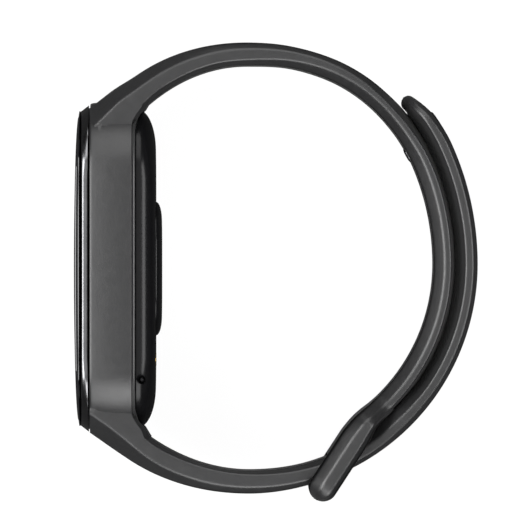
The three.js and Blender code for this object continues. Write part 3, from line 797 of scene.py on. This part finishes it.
def contact_cutter(side):
    """Seat for a charging contact in the capsule's back, on one side of its middle line."""
    return round_solid("pad", (CONTACT_Y, side * CONTACT_Z), "X", [
        (-3, CONTACT_SEAT_RADIUS), (BODY_BACK - 0.1, CONTACT_SEAT_RADIUS),
        (BODY_BACK - 0.02, 1.18), (0, 1.5),
    ])


def build_contact(index, side):
    """A gold contact pad with a soft edge, almost flush with the capsule's back."""
    top = BODY_BACK + 0.05
    pad = round_solid(f"gold_pad_{index}", (CONTACT_Y, side * CONTACT_Z), "X", [
        (-1.8, 0.3), (-1.8, CONTACT_RADIUS), (top - 0.12, CONTACT_RADIUS),
        (top - 0.04, 1.02), (top, 0.92), (top, 0.3),
    ], 36)
    return smooth(pad, 40)


def build_lens():
    """The smoked window over the sensors, with a slightly domed edge."""
    profile = [
        (-1.2, 0.3), (-1.2, 0.02), (-1.16, 0), (-0.14, 0),
        (-0.06, 0.03), (-0.02, 0.1), (-0.005, 0.3), (0, 0.6),
    ]
    lens = capsule_loft("sensor_window", profile, LENS_HALF_LENGTH, LENS_HALF_WIDTH, 48)
    return smooth(lens, 40)


# ---- Materials ----

def material(name, **values):
    """A material whose Principled shader has these even values set on its own sockets."""
    made = bpy.data.materials.new(name)
    made.use_nodes = True
    shader = made.node_tree.nodes["Principled BSDF"]
    for key, value in values.items():
        socket = shader.inputs[key.replace("_", " ")]
        socket.default_value = (*value, 1) if isinstance(value, tuple) and len(value) == 3 else value
    return made


def noise(made, scale, detail=4.0, roughness=0.55, stretch=(1, 1, 1)):
    """The factor of a noise texture on the object's own coordinates, in metres."""
    nodes, links = made.node_tree.nodes, made.node_tree.links
    coordinates = nodes.new("ShaderNodeTexCoord")
    mapping = nodes.new("ShaderNodeMapping")
    mapping.inputs["Scale"].default_value = stretch
    texture = nodes.new("ShaderNodeTexNoise")
    texture.inputs["Scale"].default_value = scale
    texture.inputs["Detail"].default_value = detail
    texture.inputs["Roughness"].default_value = roughness
    links.new(coordinates.outputs["Object"], mapping.inputs["Vector"])
    links.new(mapping.outputs["Vector"], texture.inputs["Vector"])
    return texture.outputs["Fac"]


def ramp(made, factor, stops):
    """Maps a factor through (position, colour or grey) stops."""
    node = made.node_tree.nodes.new("ShaderNodeValToRGB")
    elements = node.color_ramp.elements
    for index, (position, value) in enumerate(stops):
        element = elements[index] if index < 2 else elements.new(position)
        element.position = position
        element.color = (*value, 1) if isinstance(value, tuple) else (value, value, value, 1)
    made.node_tree.links.new(factor, node.inputs["Fac"])
    return node.outputs["Color"]


def feed(made, output, socket):
    """Links an output to a socket of the material's Principled shader."""
    made.node_tree.links.new(output, made.node_tree.nodes["Principled BSDF"].inputs[socket])


def bump(made, *layers):
    """Adds bump layers, each a (height factor, depth in millimetres) pair."""
    nodes, links = made.node_tree.nodes, made.node_tree.links
    before = None
    for height, depth in layers:
        node = nodes.new("ShaderNodeBump")
        node.inputs["Distance"].default_value = depth * MM
        node.inputs["Strength"].default_value = 1.0
        links.new(height, node.inputs["Height"])
        if before:
            links.new(before, node.inputs["Normal"])
        before = node.outputs["Normal"]
    feed(made, before, "Normal")


def strap_rubber():
    """Matt black silicone rubber with a fine grain over a slower unevenness."""
    made = material("strap_rubber", IOR=1.5, Specular_IOR_Level=0.5, Sheen_Weight=0.05, Sheen_Roughness=0.5)
    mottle = noise(made, 2600, 5, 0.65)
    blacks = [(0.3, (0.0062, 0.0062, 0.0065)), (0.72, (0.0088, 0.0088, 0.0092))]
    feed(made, ramp(made, mottle, blacks), "Base Color")
    feed(made, ramp(made, noise(made, 900, 3), [(0.3, 0.31), (0.7, 0.38)]), "Roughness")
    bump(made, (noise(made, 9000, 3, 0.6), 0.012), (noise(made, 2200, 2), 0.01))
    return made


def gloss_casing(name, base, roughness, metallic=0.0, specular=0.5):
    """Smooth moulded plastic, glass or polished metal, with a faint unevenness."""
    made = material(name, Metallic=metallic, IOR=1.5, Specular_IOR_Level=specular)
    cloud = noise(made, 700, 3)
    dark = tuple(value * 0.85 for value in base)
    feed(made, ramp(made, cloud, [(0.35, dark), (0.65, base)]), "Base Color")
    sheens = [(0.35, roughness * 0.93), (0.7, roughness * 1.08)]
    feed(made, ramp(made, noise(made, 4200, 4), sheens), "Roughness")
    bump(made, (noise(made, 6000, 2), 0.0003))
    return made


def glass_black():
    """The cover glass over a screen that is off."""
    made = gloss_casing("cover_glass_black", (0.0045, 0.0045, 0.0055), 0.035)
    shader = made.node_tree.nodes["Principled BSDF"]
    shader.inputs["Coat Weight"].default_value = 0.3
    shader.inputs["Coat Roughness"].default_value = 0.02
    return made


def lens_glass():
    """Smoked glass that lets the sensors show faintly."""
    made = material("sensor_window_smoked", IOR=1.5, Transmission_Weight=1.0, Specular_IOR_Level=0.5)
    tints = [(0.3, (0.20, 0.20, 0.21)), (0.7, (0.25, 0.25, 0.26))]
    feed(made, ramp(made, noise(made, 300, 2), tints), "Base Color")
    feed(made, ramp(made, noise(made, 5000, 2), [(0.3, 0.02), (0.7, 0.05)]), "Roughness")
    return made


def brushed(name, base, roughness=0.3, stretch=(1, 1, 14)):
    """Metal or foil with a grain that runs one way."""
    made = material(name, Metallic=1.0)
    grain = noise(made, 2500, 4, 0.6, stretch)
    dark = tuple(value * 0.8 for value in base)
    feed(made, ramp(made, grain, [(0.35, dark), (0.65, base)]), "Base Color")
    feed(made, ramp(made, grain, [(0.3, roughness * 0.75), (0.7, roughness * 1.3)]), "Roughness")
    bump(made, (grain, 0.002))
    return made


def moulded(name, base, roughness=0.55, mottling=0.25, grain=5000):
    """Plain moulded plastic, resin or film with a fine texture."""
    made = material(name)
    dark = tuple(value * (1 - mottling) for value in base)
    feed(made, ramp(made, noise(made, 1200, 4), [(0.35, dark), (0.68, base)]), "Base Color")
    sheens = [(0.3, roughness * 0.85), (0.7, roughness * 1.15)]
    feed(made, ramp(made, noise(made, grain, 3), sheens), "Roughness")
    bump(made, (noise(made, grain, 3), 0.006))
    return made


def circuit_board():
    """Solder mask with copper tracks showing faintly through it."""
    made = material("circuit_board_green", Coat_Weight=0.4, Coat_Roughness=0.25)
    nodes, links = made.node_tree.nodes, made.node_tree.links
    coordinates = nodes.new("ShaderNodeTexCoord")
    cells = nodes.new("ShaderNodeTexVoronoi")
    cells.feature = "DISTANCE_TO_EDGE"
    cells.distance = "MANHATTAN"
    cells.inputs["Scale"].default_value = 700
    links.new(coordinates.outputs["Object"], cells.inputs["Vector"])
    tracks = cells.outputs["Distance"]
    colours = [(0.02, (0.05, 0.2, 0.05)), (0.07, (0.008, 0.06, 0.022))]
    feed(made, ramp(made, tracks, colours), "Base Color")
    feed(made, ramp(made, noise(made, 2000, 3), [(0.3, 0.4), (0.7, 0.55)]), "Roughness")
    bump(made, (tracks, 0.01))
    return made


def slot_materials():
    """One material for each slot in the record."""
    return {
        "strap": strap_rubber(),
        "cover_glass": glass_black(),
        "sensor_window": lens_glass(),
        "casing": gloss_casing("casing_gloss_black", (0.0045, 0.0045, 0.005), 0.24, specular=0.2),
        "inner_plastic": moulded("inner_black_plastic", (0.03, 0.03, 0.033)),
        "display": gloss_casing("display_stack", (0.006, 0.006, 0.009), 0.1),
        "adhesive": moulded("adhesive_film", (0.55, 0.55, 0.5), 0.3, 0.1),
        "polyimide": moulded("polyimide_film", (0.32, 0.13, 0.02), 0.35, 0.3, 3000),
        "circuit_board": circuit_board(),
        "chip": moulded("chip_epoxy", (0.014, 0.014, 0.015), 0.5),
        "connector_plastic": moulded("connector_ivory", (0.55, 0.5, 0.4), 0.5, 0.12),
        "steel": brushed("plain_steel", (0.5, 0.5, 0.52)),
        "dark_metal": brushed("dark_plated_steel", (0.09, 0.09, 0.095), 0.28),
        "gold_plate": brushed("gold_plate", (0.83, 0.58, 0.2), 0.22),
        "battery_foil": brushed("battery_foil", (0.5, 0.51, 0.53), 0.42, (3, 1, 1)),
        "green_led": moulded("green_led_epoxy", (0.25, 0.62, 0.3), 0.25, 0.15),
        "photodiode": gloss_casing("photodiode_silicon", (0.012, 0.014, 0.035), 0.15),
    }


def finish_piece(obj, slot, finishes, material_override=None):
    """Gives a new piece the material of its slot, or the override where one is given."""
    obj.data.materials.clear()
    obj.data.materials.append(material_override or finishes[slot])
    return obj


def paint_cad_nodes(finishes):
    """Gives every CAD node the material of its slot in the record."""
    slots = {part["node"]: part["material_slot"] for part in frame["record"]["subparts"]}
    for name, node in frame["nodes"].items():
        node.data.materials.clear()
        node.data.materials.append(finishes[slots[name]])


# ---- Stage, in metres ----

CAMERA_HEIGHT = 1.5
VIEW_WIDTH = 0.07283
VIEW_CENTRE = (0.01336, 0.00179)
LIGHT_TARGET = Vector((0.015, 0, 0))
FLOOR_HALF_SIZE = 4.0
FLOOR_DROP = 0.0001
FLOOR_GLOW = 0.93
FLOOR_SHADING = 0.07
FLOOR_BOUNCE = 0.03
BACKDROP_GLOW = 0.97
ROOM_FILL = 0.04


def add_camera():
    """Looks straight down the wrist opening's axis from far away, as the band lies on its side."""
    data = bpy.data.cameras.new("camera")
    data.sensor_width = 36
    data.lens = data.sensor_width * CAMERA_HEIGHT / VIEW_WIDTH
    data.clip_start = 0.05
    data.clip_end = 20
    camera = bpy.data.objects.new("camera", data)
    camera.location = (*VIEW_CENTRE, CAMERA_HEIGHT)
    bpy.context.scene.collection.objects.link(camera)
    bpy.context.scene.camera = camera


def add_softbox(name, tilt, turn, distance, width, height, radiance):
    """An area light aimed at the band. Tilt is measured from straight above, turn from +X towards +Y."""
    data = bpy.data.lights.new(name, "AREA")
    data.shape = "RECTANGLE"
    data.size = width
    data.size_y = height
    data.energy = radiance * math.pi * width * height
    light = bpy.data.objects.new(name, data)
    direction = Vector((
        math.sin(tilt * DEGREE) * math.cos(turn * DEGREE),
        math.sin(tilt * DEGREE) * math.sin(turn * DEGREE),
        math.cos(tilt * DEGREE),
    ))
    light.location = LIGHT_TARGET + direction * distance
    light.rotation_mode = "QUATERNION"
    light.rotation_quaternion = (-direction).to_track_quat("-Z", "Y")
    light.visible_camera = False
    bpy.context.scene.collection.objects.link(light)


def add_lights():
    """Soft lights round the band, and a large weak one overhead for its flat sides."""
    add_softbox("left_box", 43, 180, 0.8, 0.9, 0.42, 9.5)
    add_softbox("right_box", 43, 0, 0.8, 0.7, 0.3, 7.5)
    add_softbox("lower_box", 54, -90, 0.8, 0.7, 0.5, 6.0)
    add_softbox("upper_box", 56, 90, 0.8, 0.8, 0.7, 2.8)
    add_softbox("left_panel", 76, 180, 0.9, 0.8, 0.5, 1.0)
    add_softbox("overhead", 0, 0, 1.3, 1.3, 1.3, 1.05)


def plain_shader(tree, kind, grey, strength=None):
    """A stage shader of one even grey."""
    node = tree.nodes.new(kind)
    node.inputs["Color"].default_value = (grey, grey, grey, 1)
    if strength is not None:
        node.inputs["Strength"].default_value = strength
    return node.outputs[0]


def seen_or_lit(tree, seen, lit):
    """Shows one shader to the camera, while the band is lit by the other."""
    path = tree.nodes.new("ShaderNodeLightPath")
    mix = tree.nodes.new("ShaderNodeMixShader")
    tree.links.new(path.outputs["Is Camera Ray"], mix.inputs["Fac"])
    tree.links.new(lit, mix.inputs[1])
    tree.links.new(seen, mix.inputs[2])
    return mix.outputs["Shader"]


def add_floor():
    """A plain pale floor, bright to the eye but giving the band little light from below."""
    mesh = bpy.data.meshes.new("floor")
    height = cad_bounds[0].z - FLOOR_DROP
    signs = [(-1, -1), (1, -1), (1, 1), (-1, 1)]
    corners = [(x * FLOOR_HALF_SIZE, y * FLOOR_HALF_SIZE, height) for x, y in signs]
    mesh.from_pydata(corners, [], [(0, 1, 2, 3)])
    floor = object_from("floor", mesh)
    made = bpy.data.materials.new("floor_pale")
    made.use_nodes = True
    tree = made.node_tree
    tree.nodes.clear()
    glow = plain_shader(tree, "ShaderNodeEmission", 1, FLOOR_GLOW)
    shading = plain_shader(tree, "ShaderNodeBsdfDiffuse", FLOOR_SHADING)
    bounce = plain_shader(tree, "ShaderNodeBsdfDiffuse", FLOOR_BOUNCE)
    pale = tree.nodes.new("ShaderNodeAddShader")
    tree.links.new(glow, pale.inputs[0])
    tree.links.new(shading, pale.inputs[1])
    output = tree.nodes.new("ShaderNodeOutputMaterial")
    surface = seen_or_lit(tree, pale.outputs["Shader"], bounce)
    tree.links.new(surface, output.inputs["Surface"])
    mesh.materials.append(made)


def add_world():
    """A white backdrop behind the floor, and a weak even light from all round."""
    world = bpy.data.worlds.new("studio")
    world.use_nodes = True
    tree = world.node_tree
    tree.nodes.clear()
    backdrop = plain_shader(tree, "ShaderNodeBackground", 1, BACKDROP_GLOW)
    fill = plain_shader(tree, "ShaderNodeBackground", 1, ROOM_FILL)
    output = tree.nodes.new("ShaderNodeOutputWorld")
    tree.links.new(seen_or_lit(tree, backdrop, fill), output.inputs["Surface"])
    bpy.context.scene.world = world


# ---- Assembly ----

def blend_points(travel):
    """Two places on the tail's middle line, before and after one of its bends."""
    places = []
    for distance in (-BLEND_REACH, BLEND_REACH):
        x, y, _ = lower_path.at(travel + distance)
        places.append((x * MM, y * MM, 0))
    return places


def place_strap(finishes):
    """The moulding rides on the strap, the tail's two stretches stay where they are built, and the stud
    rides on the tail's tip.
    """
    moulding = finish_piece(build_strap_moulding(), "strap", finishes)
    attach(moulding, "strap")
    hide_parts("strap_cradle", "strap_upper_arm", "strap_keeper_loop")
    lower, upper = build_tail()
    finish_piece(lower, "strap", finishes)
    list(blend_points(FIRST_BEND))
    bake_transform(lower)
    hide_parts("strap_lower_arm")
    finish_piece(upper, "strap", finishes)
    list(blend_points(SECOND_BEND))
    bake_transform(upper)
    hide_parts("strap_tail_middle", "strap_tail_tip")
    cap, post = build_stud()
    for piece, node in ((cap, "stud_cap"), (post, "stud_post")):
        finish_piece(piece, "dark_metal", finishes)
        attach(piece, "tail_tip")
        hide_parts(node)


def place_tracker(finishes):
    """The capsule's visible pieces ride on the tracker."""
    bezel_finish = gloss_casing("bezel_gunmetal", (0.17, 0.17, 0.175), 0.2, 1.0)
    pieces = [
        (build_glass(), "cover_glass", "cover_glass", None),
        (build_bezel(), "casing", "front_bezel", bezel_finish),
        (build_body(), "casing", "body_shell", None),
        (build_lens(), "sensor_window", "sensor_lens", None),
        (build_contact(1, 1), "gold_plate", "charging_contact_1", None),
        (build_contact(2, -1), "gold_plate", "charging_contact_2", None),
    ]
    for piece, slot, node, override in pieces:
        finish_piece(piece, slot, finishes, override)
        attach(piece, "tracker")
        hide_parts(node)


bpy.context.scene.view_settings.view_transform = "Standard"
add_camera()
add_world()
add_lights()
add_floor()
all_finishes = slot_materials()
paint_cad_nodes(all_finishes)
place_strap(all_finishes)
place_tracker(all_finishes)
